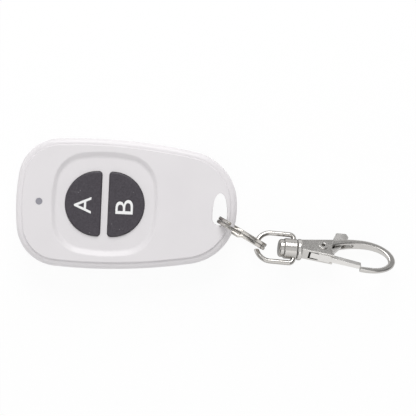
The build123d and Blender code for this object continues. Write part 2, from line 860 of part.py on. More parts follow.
# Clasp hook: spine and hook limb
limb_tip = clasp_length - crown_s
with BuildPart() as clasp_hook:
    with BuildSketch(hook_plane):
        with BuildLine():
            root = (spine_root, spine_root_w)
            TangentArc((crown_s, crown_w), root, tangent=(-1, 0))
            EllipticalCenterArc((crown_s, tip_w), limb_tip, crown_w - tip_w, arc_size=90)
            EllipticalCenterArc((belly_s, tip_w), clasp_length - belly_s, tip_w - belly_w, 270, arc_size=90)
            TangentArc((belly_s, belly_w), (nose_start, nose_outer_w), tangent=(-1, 0))
            Line((nose_start, nose_outer_w), (nose_start, nose_inner_w))
            Line((nose_start, nose_inner_w), (belly_s, belly_w + limb_belly))
            EllipticalCenterArc((belly_s, tip_w), clasp_length - belly_s - limb_end,
                                tip_w - belly_w - limb_belly, 270, arc_size=90)
            EllipticalCenterArc((crown_s, tip_w), limb_tip - limb_end, crown_w - tip_w - limb_top, arc_size=90)
            inner_root = (spine_root, spine_root_w - spine_root_depth)
            TangentArc((crown_s, crown_w - limb_top), inner_root, tangent=(-1, 0))
            Line(inner_root, root)
        make_face()
    extrude(amount=cheek_half_thickness, both=True)
    for face_side in (-1, 1):
        place = hook_plane.from_local_coords(Vector(cheek_end, cheek_top_end, face_side * limb_half_thickness))
        lean = hook_plane.z_dir * face_side + hook_plane.x_dir * limb_thinning_s_share \
            - hook_plane.y_dir * limb_thinning_w_share
        split(bisect_by=Plane(origin=place, x_dir=hook_plane.x_dir.cross(lean), z_dir=lean), keep=Keep.BOTTOM)
    # The limb's long edges are rounded, not the smooth seams across it or the nose's own end
    limb_edges = []
    for edge in clasp_hook.edges():
        place = hook_plane.to_local_coords(edge.center())
        across_share = abs((edge % halfway_share).dot(hook_plane.z_dir))
        if place.X > nose_start + pick_band and abs(place.Z) > pick_band and across_share < halfway_share:
            limb_edges.append(edge)
    fillet(limb_edges, limb_edge_round)
    # Two cheeks with a hollowed end
    with BuildSketch(hook_plane):
        with BuildLine():
            upper_corner = (cheek_end, cheek_top_end)
            lower_corner = (cheek_end, cheek_bottom_end)
            Polyline(upper_corner, (cheek_start, cheek_top_start), (cheek_start, cheek_bottom_start),
                     lower_corner)
            ThreePointArc(lower_corner, (cheek_end - cheek_hollow, 0), upper_corner)
        make_face()
    extrude(amount=cheek_half_thickness, both=True)
    add(neck_bead.part)
    # Throat between the cheeks, and the narrow slot through the spine for the thumb tab
    roof_slope = (cheek_top_end - cheek_top_start) / (cheek_end - cheek_start)
    throat_end = cheek_end + throat_roof
    roof_start = cheek_top_start + roof_slope * (throat_start - cheek_start) - throat_roof
    roof_end = cheek_top_start + roof_slope * (throat_end - cheek_start) - throat_roof
    with BuildSketch(hook_plane):
        with BuildLine():
            Polyline((throat_start, roof_start), (throat_end, roof_end), (throat_end, -neck_radius - overrun),
                     (throat_start, -neck_radius - overrun), (throat_start, roof_start))
        make_face()
    extrude(amount=throat_half, both=True, mode=Mode.SUBTRACT)
    tab_slot_middle = hook_plane.from_local_coords(Vector((tab_slot_start + tab_slot_end) / 2, 0, 0))
    with BuildSketch(Plane(origin=tab_slot_middle, x_dir=hook_plane.x_dir, z_dir=hook_plane.y_dir)):
        SlotOverall(tab_slot_end - tab_slot_start, 2 * tab_slot_half)
    extrude(amount=crown_w + overrun, mode=Mode.SUBTRACT)
    # Bores for the stud and the rivet
    with BuildSketch(across(hook_plane, neck_start)):
        Circle(stud_radius + thread_clearance)
    extrude(amount=stud_end - neck_start + thread_clearance, mode=Mode.SUBTRACT)
    with BuildSketch(hook_plane):
        with Locations((pin_s, pin_w)):
            Circle(pin_radius + thread_clearance)
    extrude(amount=cheek_half_thickness + overrun, both=True, mode=Mode.SUBTRACT)
pieces["clasp_hook"] = clasp_hook.part

# Gate pin: a hollow rivet with a ring head on each cheek
with BuildPart() as gate_pin:
    with BuildSketch(hook_plane):
        with Locations((pin_s, pin_w)):
            Circle(pin_radius)
    extrude(amount=cheek_half_thickness, both=True)
    for face_side in (-1, 1):
        with BuildSketch(hook_plane.offset(face_side * cheek_half_thickness)):
            with Locations((pin_s, pin_w)):
                Circle(rivet_head_radius)
        extrude(amount=face_side * rivet_head_height)
    outer_rims = [edge for edge in gate_pin.edges().filter_by(GeomType.CIRCLE)
                  if abs(hook_plane.to_local_coords(edge.arc_center).Z) > cheek_half_thickness + pick_band]
    chamfer(outer_rims, rivet_edge_chamfer)
    with BuildSketch(hook_plane):
        with Locations((pin_s, pin_w)):
            Circle(pin_bore_radius)
    extrude(amount=cheek_half_thickness + overrun, both=True, mode=Mode.SUBTRACT)
    bore_rims = [edge for edge in gate_pin.edges().filter_by(GeomType.CIRCLE)
                 if abs(edge.radius - pin_bore_radius) < pick_band]
    chamfer(bore_rims, rivet_mouth)
pieces["gate_pin"] = gate_pin.part

# Gate lever: a folded channel that closes the hook, two ears on the pin, and the thumb tab
gate_slope = (gate_end_w - gate_start_w) / (gate_end - gate_start)
gate_taper = (gate_half_start - gate_half_end) / (gate_end - gate_start)


def gate_line(s, rise=0):
    """Point on the gate's outer face at s, or above it by rise."""
    return (s, gate_start_w + gate_slope * (s - gate_start) + rise)


def gate_plan(start, finish, inset):
    """Face seen along w: the gate's plan, narrower towards the nose, drawn in by inset."""
    half_start = gate_half_start - gate_taper * (start - gate_start) - inset
    half_finish = gate_half_start - gate_taper * (finish - gate_start) - inset
    with BuildSketch(Plane(origin=hook_plane.origin, x_dir=hook_plane.x_dir, z_dir=hook_plane.y_dir)) as plan:
        with BuildLine():
            Polyline((start, -half_start), (finish, -half_finish), (finish, half_finish), (start, half_start),
                     (start, -half_start))
        make_face()
    return plan.sketch


def gate_side(start, finish, low, high):
    """Face seen along n: a strip of the gate between two heights above its outer face."""
    with BuildSketch(hook_plane) as strip:
        with BuildLine():
            Polyline(gate_line(start, low), gate_line(finish, low), gate_line(finish, high),
                     gate_line(start, high), gate_line(start, low))
        make_face()
    return strip.sketch


def gate_block(start, finish, low, high, inset):
    """A stretch of the gate: its side strip and its plan, one cut by the other."""
    with BuildPart() as block:
        extrude(gate_side(start, finish, low, high), amount=ear_half, both=True)
        extrude(gate_plan(start, finish, inset), amount=clasp_length, both=True, mode=Mode.INTERSECT)
    return block.part


gate_bar = gate_block(gate_start, gate_end, 0, gate_height, 0)
gate_channel = gate_block(gate_start - overrun, gate_end - gate_tip_wall, gate_web,
                          gate_height + overrun, gate_wall)
bridge_end = bridge_start + bridge_length
ear_reach = 2 * ear_radius
with BuildPart() as gate_lever:
    add(gate_bar)
    add(gate_channel, mode=Mode.SUBTRACT)
    with BuildSketch(hook_plane):
        with Locations((pin_s, pin_w)):
            Circle(ear_radius)
        with BuildLine():
            Polyline((pin_s - ear_radius, pin_w), gate_line(pin_s - ear_radius), gate_line(bridge_end),
                     (bridge_end, pin_w), (pin_s - ear_radius, pin_w))
        make_face()
    extrude(amount=ear_half, both=True)
    with BuildSketch(hook_plane):
        with BuildLine():
            Polyline((pin_s - ear_reach, pin_w + ear_reach), gate_line(pin_s - ear_reach, gate_web),
                     gate_line(bridge_start, gate_web), (bridge_start, pin_w + ear_reach),
                     (pin_s - ear_reach, pin_w + ear_reach))
        make_face()
    extrude(amount=ear_half - ear_thickness, both=True, mode=Mode.SUBTRACT)
    with BuildSketch(hook_plane):
        with BuildLine():
            FilletPolyline((bridge_start, pin_w - ear_reach), (bridge_start, pin_w), (tab_heel_s, tab_heel_w),
                           (tab_top_start, tab_top), (tab_top_end, tab_top), (tab_lip_s, tab_lip_w),
                           (tab_throat_s, tab_throat_w), (bridge_end, pin_w - ear_reach),
                           radius=tab_corner_round)
            Line((bridge_end, pin_w - ear_reach), (bridge_start, pin_w - ear_reach))
        make_face()
    extrude(amount=tab_half, both=True)
    with BuildSketch(hook_plane):
        with Locations((pin_s, pin_w)):
            Circle(pin_radius + pin_clearance)
    extrude(amount=ear_half + overrun, both=True, mode=Mode.SUBTRACT)
pieces["gate_lever"] = gate_lever.part

# Gate spring: two turns on the pin, one leg under the roof and one down to the gate
spring_last_angle = 90 + math.degrees(math.atan(roof_slope))
spring_sweep = spring_turns + (spring_last_angle - spring_first_angle) / 360
spring_length = spring_pitch * spring_sweep
spring_start = math.radians(spring_first_angle)
spring_start_s = math.cos(spring_start)
spring_start_w = math.sin(spring_start)
spring_plane = Plane(origin=hook_plane.from_local_coords(Vector(pin_s, pin_w, -spring_length / 2)),
                     x_dir=hook_plane.x_dir * spring_start_s + hook_plane.y_dir * spring_start_w,
                     z_dir=hook_plane.z_dir)
spring_coil = spring_plane * Helix(spring_pitch, spring_length, spring_mean_radius)
web_under_leg = gate_line(pin_s + spring_mean_radius * spring_start_s, gate_web)[1]
spring_gate_leg = (pin_w + spring_mean_radius * spring_start_w - web_under_leg
                   - spring_wire / 2 - spring_clearance)
with BuildPart() as gate_spring:
    with BuildSketch(Plane(origin=spring_coil @ 0, z_dir=spring_coil % 0)):
        Circle(spring_wire / 2)
    sweep(path=spring_coil, is_frenet=True)
    # Each leg starts on the coil's end face and runs square to the pin
    for coil_end, way, leg_length in ((0, -1, spring_gate_leg), (1, 1, spring_roof_leg)):
        tangent = spring_coil % coil_end
        leg_direction = (tangent - hook_plane.z_dir * tangent.dot(hook_plane.z_dir)).normalized() * way
        with BuildSketch(Plane(origin=spring_coil @ coil_end, z_dir=tangent)):
            Circle(spring_wire / 2)
        extrude(amount=leg_length, dir=leg_direction)
pieces["gate_spring"] = gate_spring.part

# Least gap of the spring's coil to itself, measured on points at least three quarters of a turn apart
spring_samples = 240
samples = [spring_coil @ (step / spring_samples) for step in range(spring_samples + 1)]
apart = int(spring_samples / spring_sweep * 3 / 4)
least_gap = min((samples[i] - samples[j]).length - spring_wire
                for i in range(spring_samples + 1) for j in range(i + apart, spring_samples + 1))
print("least gap of the spring to itself:", round(least_gap, 3))

os.makedirs("parts", exist_ok=True)
for name, piece in pieces.items():
    piece.label = name
    export_step(piece, "parts/" + name + ".step")
    print(name, "solids", len(piece.solids()), "volume", round(piece.volume, 2))
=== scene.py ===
# %% [markdown]
# # An alarm key fob on a swivel clasp
# The real thing is a pale two-part plastic case with two dark keys, on a split ring and a plated
# snap clasp. The engineering model already gives every rigid piece its size and place. This lesson
# dresses it: it gives each finish its moulded, printed or plated surface, and adds what only ink,
# polish and light can show.

# %% Load the frame
import json
import math

import bpy
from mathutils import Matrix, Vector


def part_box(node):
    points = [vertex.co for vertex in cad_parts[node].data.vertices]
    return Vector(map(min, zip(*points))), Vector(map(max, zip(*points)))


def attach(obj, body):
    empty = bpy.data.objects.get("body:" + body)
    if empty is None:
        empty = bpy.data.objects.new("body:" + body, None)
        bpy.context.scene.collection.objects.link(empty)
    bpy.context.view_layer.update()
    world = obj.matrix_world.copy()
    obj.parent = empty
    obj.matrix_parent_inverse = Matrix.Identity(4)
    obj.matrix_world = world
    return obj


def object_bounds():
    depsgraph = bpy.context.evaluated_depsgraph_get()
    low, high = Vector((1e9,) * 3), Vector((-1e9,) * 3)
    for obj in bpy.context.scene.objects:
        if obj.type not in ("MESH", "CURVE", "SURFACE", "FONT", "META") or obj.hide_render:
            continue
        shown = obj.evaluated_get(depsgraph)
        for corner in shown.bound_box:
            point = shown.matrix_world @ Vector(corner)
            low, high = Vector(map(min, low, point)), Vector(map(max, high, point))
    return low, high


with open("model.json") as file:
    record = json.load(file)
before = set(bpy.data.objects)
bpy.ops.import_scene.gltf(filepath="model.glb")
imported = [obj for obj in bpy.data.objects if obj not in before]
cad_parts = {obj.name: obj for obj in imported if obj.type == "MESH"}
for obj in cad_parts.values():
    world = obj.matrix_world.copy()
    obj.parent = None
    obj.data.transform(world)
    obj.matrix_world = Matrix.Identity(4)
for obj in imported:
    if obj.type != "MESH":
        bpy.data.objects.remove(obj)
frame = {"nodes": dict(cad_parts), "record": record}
cad_low, cad_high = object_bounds()
nodes = frame["nodes"]
MM = 0.001

# %% [markdown]
# ## Working by hand, in code
# Operators act on whatever is selected, and the loaded model arrives selected. So each step starts
# from nothing selected and picks out only what it works on.

# %% Selection helpers


def pick_only(piece):
    """Select one object and make it the active one."""
    bpy.ops.object.select_all(action="DESELECT")
    piece.select_set(True)
    bpy.context.view_layer.objects.active = piece


def settle(piece):
    """Put a piece's place into its mesh, so that its object sits unturned at the origin."""
    pick_only(piece)
    bpy.ops.object.transform_apply(location=True, rotation=True, scale=True)


# %% [markdown]
# ## Surface effects that several finishes share
# Moulded plastic, ink and plated metal all carry small flaws: a fine grain from the tool, slow
# changes of tone, hair scratches and dust. Each is a node group with named inputs, built once, so
# every finish can place it at its own scale and strength.

# %% Node group helpers


def new_group(name, inputs, outputs):
    """An empty shader group with float inputs, given as names with values, and float outputs."""
    group = bpy.data.node_groups.new(name, "ShaderNodeTree")
    for label, value in inputs.items():
        socket = group.interface.new_socket(label, in_out="INPUT", socket_type="NodeSocketFloat")
        socket.default_value = value
    for label in outputs:
        group.interface.new_socket(label, in_out="OUTPUT", socket_type="NodeSocketFloat")
    return group, group.nodes.new("NodeGroupInput"), group.nodes.new("NodeGroupOutput")


def math_node(tree, operation, first, second, clamp=False):
    """A Math node whose two inputs are each a socket or a number."""
    node = tree.nodes.new("ShaderNodeMath")
    node.operation = operation
    node.use_clamp = clamp
    for index, value in enumerate((first, second)):
        if isinstance(value, (int, float)):
            node.inputs[index].default_value = value
        else:
            tree.links.new(value, node.inputs[index])
    return node.outputs[0]


def noise_node(tree, vector, scale, detail=2.0):
    """The value of a Noise texture on a vector, at a scale that is a socket or a number."""
    node = tree.nodes.new("ShaderNodeTexNoise")
    node.inputs["Detail"].default_value = detail
    tree.links.new(vector, node.inputs["Vector"])
    if isinstance(scale, (int, float)):
        node.inputs["Scale"].default_value = scale
    else:
        tree.links.new(scale, node.inputs["Scale"])
    return node.outputs["Fac"]


def object_place(tree):
    """Each point's place on the object, in metres."""
    return tree.nodes.new("ShaderNodeTexCoord").outputs["Object"]


def rise_above(tree, value, threshold, gain):
    """A mask that climbs from 0 at a threshold, by a gain, and stops at 1."""
    return math_node(tree, "MULTIPLY", math_node(tree, "SUBTRACT", value, threshold), gain, clamp=True)


def noise_share(tree, place, scale, share):
    """A soft noise at a share of another scale, for what varies more slowly."""
    return noise_node(tree, place, math_node(tree, "MULTIPLY", scale, share), 1.0)


# %% The shared effects
bevel_samples = 4


def grain_group():
    """The fine, even grain that a mould leaves, with a slow swell under it."""
    group, entry, leave = new_group("Moulded grain", {"Scale": 3000.0, "Swell share": 0.3}, ["Height"])
    place = object_place(group)
    slow_share = 0.12
    fine = noise_node(group, place, entry.outputs["Scale"], 3.0)
    slow = noise_share(group, place, entry.outputs["Scale"], slow_share)
    swell = math_node(group, "MULTIPLY", slow, entry.outputs["Swell share"])
    group.links.new(math_node(group, "ADD", fine, swell), leave.inputs["Height"])
    return group


def mottle_group():
    """Slow, cloudy changes of tone, from 0 to 1 about a middle of a half."""
    group, entry, leave = new_group("Slow mottle", {"Scale": 120.0, "Contrast": 1.6}, ["Fac"])
    middle = 0.5
    cloud = noise_node(group, object_place(group), entry.outputs["Scale"], 4.0)
    centred = math_node(group, "SUBTRACT", cloud, middle)
    strong = math_node(group, "MULTIPLY", centred, entry.outputs["Contrast"])
    group.links.new(math_node(group, "ADD", strong, middle, clamp=True), leave.inputs["Fac"])
    return group


def scratch_group():
    """Hair scratches: thin streaks in two directions, broken up so that few of them are whole."""
    group, entry, leave = new_group("Hair scratches", {"Scale": 900.0, "Amount": 0.4}, ["Mask"])
    place = object_place(group)
    streak_threshold, streak_gain = 0.7, 14.0
    patch_share, patch_threshold, patch_gain = 0.2, 0.52, 9.0
    streaks = []
    for turn, stretch in ((0.6, 0.035), (-1.1, 0.05)):
        mapping = group.nodes.new("ShaderNodeMapping")
        mapping.inputs["Rotation"].default_value = (0.0, 0.0, turn)
        mapping.inputs["Scale"].default_value = (stretch, 1.0, 1.0)
        group.links.new(place, mapping.inputs["Vector"])
        streak = noise_node(group, mapping.outputs["Vector"], entry.outputs["Scale"], 1.0)
        streaks.append(rise_above(group, streak, streak_threshold, streak_gain))
    both = math_node(group, "MAXIMUM", streaks[0], streaks[1])
    patch = noise_share(group, place, entry.outputs["Scale"], patch_share)
    mask = math_node(group, "MULTIPLY", both, rise_above(group, patch, patch_threshold, patch_gain))
    group.links.new(math_node(group, "MULTIPLY", mask, entry.outputs["Amount"]), leave.inputs["Mask"])
    return group


def dust_group():
    """Small pale specks, thinly and unevenly scattered."""
    group, entry, leave = new_group("Dust specks", {"Scale": 1100.0, "Amount": 0.5}, ["Mask"])
    place = object_place(group)
    speck_radius, speck_gain = 0.16, 14.0
    patch_share, patch_threshold, patch_gain = 0.3, 0.6, 10.0
    cells = group.nodes.new("ShaderNodeTexVoronoi")
    group.links.new(place, cells.inputs["Vector"])
    group.links.new(entry.outputs["Scale"], cells.inputs["Scale"])
    speck = rise_above(group, speck_radius, cells.outputs["Distance"], speck_gain)
    patch = noise_share(group, place, entry.outputs["Scale"], patch_share)
    mask = math_node(group, "MULTIPLY", speck, rise_above(group, patch, patch_threshold, patch_gain))
    group.links.new(math_node(group, "MULTIPLY", mask, entry.outputs["Amount"]), leave.inputs["Mask"])
    return group


def edge_group():
    """Rims that handling rubs bright: places where the surface turns within a small radius."""
    group, entry, leave = new_group("Rubbed edges", {"Radius": 0.0002, "Gain": 5.0}, ["Mask"])
    wear_scale = 420.0
    rounded = group.nodes.new("ShaderNodeBevel")
    rounded.samples = bevel_samples
    group.links.new(entry.outputs["Radius"], rounded.inputs["Radius"])
    surface = group.nodes.new("ShaderNodeNewGeometry")
    turn = group.nodes.new("ShaderNodeVectorMath")
    turn.operation = "DOT_PRODUCT"
    group.links.new(rounded.outputs["Normal"], turn.inputs[0])
    group.links.new(surface.outputs["Normal"], turn.inputs[1])
    sharp = math_node(group, "SUBTRACT", 1.0, turn.outputs["Value"])
    strong = math_node(group, "MULTIPLY", sharp, entry.outputs["Gain"], clamp=True)
    uneven = noise_node(group, object_place(group), wear_scale, 3.0)
    group.links.new(math_node(group, "MULTIPLY", strong, uneven), leave.inputs["Mask"])
    return group


def seam_group():
    """The shadowed line where two parts meet in a plane, given by its normal and its offset."""
    inputs = {"X": 0.0, "Y": 0.0, "Z": 1.0, "Offset": 0.0, "Half width": 0.0001}
    group, entry, leave = new_group("Seam line", inputs, ["Mask"])
    fade_end = 1.5
    parts = group.nodes.new("ShaderNodeSeparateXYZ")
    group.links.new(object_place(group), parts.inputs["Vector"])
    along = math_node(group, "MULTIPLY", parts.outputs["X"], entry.outputs["X"])
    for axis in ("Y", "Z"):
        component = math_node(group, "MULTIPLY", parts.outputs[axis], entry.outputs[axis])
        along = math_node(group, "ADD", along, component)
    away = math_node(group, "ABSOLUTE", math_node(group, "SUBTRACT", along, entry.outputs["Offset"]), 0.0)
    share = math_node(group, "DIVIDE", away, entry.outputs["Half width"])
    group.links.new(math_node(group, "SUBTRACT", fade_end, share, clamp=True), leave.inputs["Mask"])
    return group


GRAIN = grain_group()
MOTTLE = mottle_group()
SCRATCHES = scratch_group()
DUST = dust_group()
EDGES = edge_group()
SEAM = seam_group()
print("shared effects", [group.name for group in (GRAIN, MOTTLE, SCRATCHES, DUST, EDGES, SEAM)])

# %% [markdown]
# ## Finishes
# A finish starts from one Principled shader. Its colour moves a little between two tones with the
# mottle, scratches and dust lift it in places, its roughness follows the mottle, the scratches and the rubbed
# edges, and its bump a fine grain.
# One builder makes them all, and each real material is a short call with its own values.

# %% Finish builder


def place_group(material, group, **values):
    """A shared effect inside a material, with its inputs set."""
    node = material.node_tree.nodes.new("ShaderNodeGroup")
    node.node_tree = group
    for label, value in values.items():
        node.inputs[label.replace("_", " ")].default_value = value
    return node.outputs[0]


def mix_colour(tree, share, first, second):
    """A colour between two, each a socket or a plain colour."""
    node = tree.nodes.new("ShaderNodeMix")
    node.data_type = "RGBA"
    tree.links.new(share, node.inputs["Factor"])
    for socket, value in ((node.inputs[6], first), (node.inputs[7], second)):
        if isinstance(value, tuple):
            socket.default_value = (*value, 1.0)
        else:
            tree.links.new(value, socket)
    return node.outputs[2]


def finish(name, dark, light, metallic, roughness, spread, grain, mottle, scratches, dust, lifted,
           edge, seam):
    """A finish. grain is (scale, bump distance), mottle a scale, scratches and dust (scale, amount),
    edge (radius of the broken edges, how much handling has rubbed them), and seam None or the
    plane's normal and offset, the half width and the colour of a dark line."""
    scratch_roughening = 0.25
    rub_polish = 0.3
    material = bpy.data.materials.new(name)
    material.use_nodes = True
    tree = material.node_tree
    shader = tree.nodes["Principled BSDF"]
    shader.inputs["Metallic"].default_value = metallic
    tone = place_group(material, MOTTLE, Scale=mottle)
    marks = place_group(material, SCRATCHES, Scale=scratches[0], Amount=scratches[1])
    specks = place_group(material, DUST, Scale=dust[0], Amount=dust[1])
    rubbed = math_node(tree, "MULTIPLY", place_group(material, EDGES, Radius=2 * edge[0]), edge[1])
    colour = mix_colour(tree, tone, dark, light)
    worn = math_node(tree, "MAXIMUM", math_node(tree, "MAXIMUM", marks, specks), rubbed)
    colour = mix_colour(tree, worn, colour, lifted)
    if seam:
        plane, offset, half_width, shade = seam
        line = place_group(material, SEAM, X=plane[0], Y=plane[1], Z=plane[2], Offset=offset,
                           Half_width=half_width)
        colour = mix_colour(tree, line, colour, shade)
    tree.links.new(colour, shader.inputs["Base Color"])
    rough = math_node(tree, "ADD", math_node(tree, "MULTIPLY", tone, spread), roughness)
    rough = math_node(tree, "ADD", rough, math_node(tree, "MULTIPLY", marks, scratch_roughening))
    polish = math_node(tree, "MULTIPLY", rubbed, rub_polish)
    tree.links.new(math_node(tree, "SUBTRACT", rough, polish, clamp=True), shader.inputs["Roughness"])
    soft_edges = tree.nodes.new("ShaderNodeBevel")
    soft_edges.samples = bevel_samples
    soft_edges.inputs["Radius"].default_value = edge[0]
    bump = tree.nodes.new("ShaderNodeBump")
    bump.inputs["Distance"].default_value = grain[1]
    tree.links.new(soft_edges.outputs["Normal"], bump.inputs["Normal"])
    tree.links.new(place_group(material, GRAIN, Scale=grain[0]), bump.inputs["Height"])
    tree.links.new(bump.outputs["Normal"], shader.inputs["Normal"])
    return material, shader


# %% The finishes of this object


def plastic(name, dark, light, roughness, grain, lifted, scratches=(900.0, 0.2), dust=(1100.0, 0.3),
            edge=(0.00008, 0.15), mottle=90.0, seam=None):
    """A moulded plastic with a thin sheen on top."""
    material, shader = finish(name, dark, light, 0.0, roughness, 0.08, grain, mottle, scratches, dust, lifted,
                              edge, seam)
    shader.inputs["IOR"].default_value = 1.5
    return material


def plated(name, dark, light, roughness, grain, lifted, scratches=(1200.0, 0.3), edge=(0.00008, 0.6),
           rim_tint=0.8, seam=None):
    """A plated or bare metal. rim_tint dims its reflection where the surface is seen edge on."""
    material, shader = finish(name, dark, light, 1.0, roughness, 0.1, grain, 260.0, scratches, (1500.0, 0.15),
                              lifted, edge, seam)
    shader.inputs["Specular Tint"].default_value = (rim_tint, rim_tint, rim_tint, 1.0)
    return material


# The planes of the two seam lines: one lies level between the covers, and the other stands between
# the split ring's two coils, across the way that the ring is turned.
up = (0.0, 0.0, 1.0)
cover_seam = 6.6 * MM
ring_turn = math.radians(28.6)
ring_across = (math.sin(ring_turn), math.cos(ring_turn), 0.0)
ring_middle = (31.6 * MM, -6.3 * MM)
ring_offset = ring_middle[0] * ring_across[0] + ring_middle[1] * ring_across[1]

FINISHES = {
    "case_plastic": plastic("Housing ABS", (0.708, 0.686, 0.700), (0.740, 0.718, 0.732), 0.34,
                            (5200.0, 0.000006), (0.85, 0.84, 0.85), (900.0, 0.05), (900.0, 0.12),
                            seam=(up, cover_seam, 0.00007, (0.36, 0.35, 0.36))),
    "key_plastic": plastic("Key ABS", (0.023, 0.018, 0.026), (0.060, 0.052, 0.064), 0.42, (4200.0, 0.000014),
                           (0.34, 0.33, 0.35), (700.0, 0.8), (1300.0, 0.8), (0.00014, 0.9), mottle=2400.0),
    "window_plastic": plastic("Lamp window", (0.25, 0.245, 0.28), (0.30, 0.295, 0.33), 0.12,
                              (3000.0, 0.000002), (0.6, 0.6, 0.65)),
    "ring_nickel": plated("Ring nickel", (0.58, 0.555, 0.52), (0.66, 0.635, 0.60), 0.12, (1500.0, 0.000001),
                          (0.88, 0.86, 0.83), edge=(0.00034, 0.2), rim_tint=0.35,
                          seam=(ring_across, ring_offset, 0.00009, (0.05, 0.045, 0.04))),
    "clasp_nickel": plated("Clasp nickel", (0.56, 0.545, 0.525), (0.63, 0.615, 0.595), 0.13,
                           (1500.0, 0.0000015), (0.88, 0.87, 0.85), edge=(0.00014, 0.9), rim_tint=0.35),
    "spring_steel": plated("Spring steel", (0.32, 0.31, 0.30), (0.45, 0.44, 0.43), 0.24, (4000.0, 0.000003),
                           (0.7, 0.7, 0.7)),
    "screw_steel": plated("Screw steel", (0.38, 0.38, 0.39), (0.52, 0.52, 0.54), 0.28, (3000.0, 0.000004),
                          (0.8, 0.8, 0.8)),
    "board_laminate": plastic("Solder mask", (0.010, 0.075, 0.030), (0.018, 0.110, 0.045), 0.30,
                              (2600.0, 0.000006), (0.30, 0.38, 0.30)),
    "chip_resin": plastic("Chip resin", (0.012, 0.012, 0.013), (0.020, 0.020, 0.021), 0.50,
                          (5000.0, 0.000010), (0.2, 0.2, 0.2)),
    "switch_resin": plastic("Switch resin", (0.018, 0.018, 0.019), (0.028, 0.028, 0.030), 0.42,
                            (4000.0, 0.000008), (0.2, 0.2, 0.2)),
    "plunger_resin": plastic("Plunger resin", (0.52, 0.49, 0.41), (0.60, 0.57, 0.49), 0.40,
                             (4000.0, 0.000006), (0.8, 0.8, 0.8)),
    "led_resin": plastic("LED resin", (0.72, 0.69, 0.58), (0.80, 0.77, 0.67), 0.18, (3000.0, 0.000003),
                         (0.9, 0.9, 0.85)),
    "can_steel": plated("Can steel", (0.42, 0.42, 0.41), (0.56, 0.56, 0.54), 0.26, (2600.0, 0.000004),
                        (0.8, 0.8, 0.8)),
    "copper": plated("Tinned copper", (0.52, 0.30, 0.17), (0.68, 0.42, 0.26), 0.24, (3000.0, 0.000004),
                     (0.85, 0.70, 0.55)),
    "ceramic": plastic("Ceramic", (0.30, 0.21, 0.12), (0.40, 0.29, 0.18), 0.44, (5000.0, 0.000006),
                       (0.6, 0.5, 0.4)),
    "resistor_film": plastic("Resistor film", (0.010, 0.010, 0.011), (0.018, 0.018, 0.020), 0.34,
                             (5000.0, 0.000006), (0.2, 0.2, 0.2)),
    "cell_steel": plated("Cell steel", (0.46, 0.46, 0.45), (0.60, 0.60, 0.59), 0.28, (2200.0, 0.000004),
                         (0.8, 0.8, 0.8)),
    "contact_steel": plated("Contact steel", (0.44, 0.42, 0.38), (0.58, 0.56, 0.51), 0.26, (2400.0, 0.000004),
                            (0.8, 0.8, 0.8)),
}

# Painted light and shade: the lever and the hook are plated alike, but the lever gets a lighter copy of the
# nickel, a painted highlight, and its swivel a darker copy, painted shade.
painted_light_nickel = plated("Lever nickel painted light", (0.72, 0.705, 0.685), (0.79, 0.775, 0.755), 0.14,
                       (1500.0, 0.0000015), (0.92, 0.91, 0.89), edge=(0.00012, 0.9), rim_tint=0.6)
painted_shade_swivel_nickel = plated("Swivel nickel painted shade", (0.45, 0.435, 0.415), (0.53, 0.515, 0.495), 0.12,
                       (1500.0, 0.0000012), (0.86, 0.85, 0.83), edge=(0.00014, 0.8), rim_tint=0.35)
PAINTED_LIGHT_AND_SHADE_FINISHES = {"gate_lever": painted_light_nickel, "swivel_loop": painted_shade_swivel_nickel, "swivel_stud": painted_shade_swivel_nickel}

slot_of = {entry["node"]: entry["material_slot"] for entry in frame["record"]["subparts"]}
# The lever, loop and stud take the painted-light and painted-shade copies of the nickel instead of their
# slot's finish.
for name, piece in nodes.items():
    for material_slot in piece.material_slots:
        material_slot.material = PAINTED_LIGHT_AND_SHADE_FINISHES.get(name, FINISHES[slot_of[name]])
finish_names = {material.name for material in (*FINISHES.values(), *PAINTED_LIGHT_AND_SHADE_FINISHES.values())}
print("finishes", len(finish_names), "on", len(slot_of), "nodes")

# %% [markdown]
# ## The printed legends
# Each key carries one plain white letter, printed after moulding, so it stands a hair above the
# cap. Text is the natural start: it is set, turned to read from the lanyard end, made a mesh, and
# stretched to the printed width and height.

# %% Print the letters
INK = plastic("Legend ink", (0.80, 0.80, 0.80), (0.86, 0.86, 0.86), 0.45, (6000.0, 0.000004),
              (0.6, 0.6, 0.6))
ink_thickness = 0.025 * MM
ink_sink = 0.005 * MM
stroke_gain = 0.001
# Any depth does here, because the letter is stretched to the ink's thickness once it is a mesh.
text_depth = 0.01
LEGENDS = {
    "a": {"middle": (-11.80 * MM, -0.52 * MM), "height": 4.65 * MM, "width": 4.52 * MM},
    "b": {"middle": (-0.50 * MM, -0.58 * MM), "height": 4.72 * MM, "width": 3.90 * MM},
}


def print_legend(letter, middle, height, width):
    """A printed letter on its key's flat top, read with its head towards the lamp window."""
    bpy.ops.object.select_all(action="DESELECT")
    bpy.ops.object.text_add(location=(0.0, 0.0, 0.0))
    legend = bpy.context.active_object
    legend.data.body = letter.upper()
    legend.data.extrude = text_depth
    legend.data.offset = stroke_gain
    pick_only(legend)
    bpy.ops.object.convert(target="MESH")
    legend = bpy.context.active_object
    legend.name = "legend_" + letter
    bpy.ops.object.origin_set(type="ORIGIN_GEOMETRY", center="BOUNDS")
    legend.dimensions = (width, height, ink_thickness)
    legend.rotation_euler = (0.0, 0.0, math.pi / 2)
    key_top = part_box("button_" + letter)[1].z
    legend.location = (middle[0], middle[1], key_top - ink_sink + ink_thickness / 2)
    settle(legend)
    legend.data.materials.clear()
    legend.data.materials.append(INK)
    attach(legend, "key_" + letter)
    return legend


for letter, place in LEGENDS.items():
    made = print_legend(letter, **place)
    print(made.name, "faces", len(made.data.polygons))

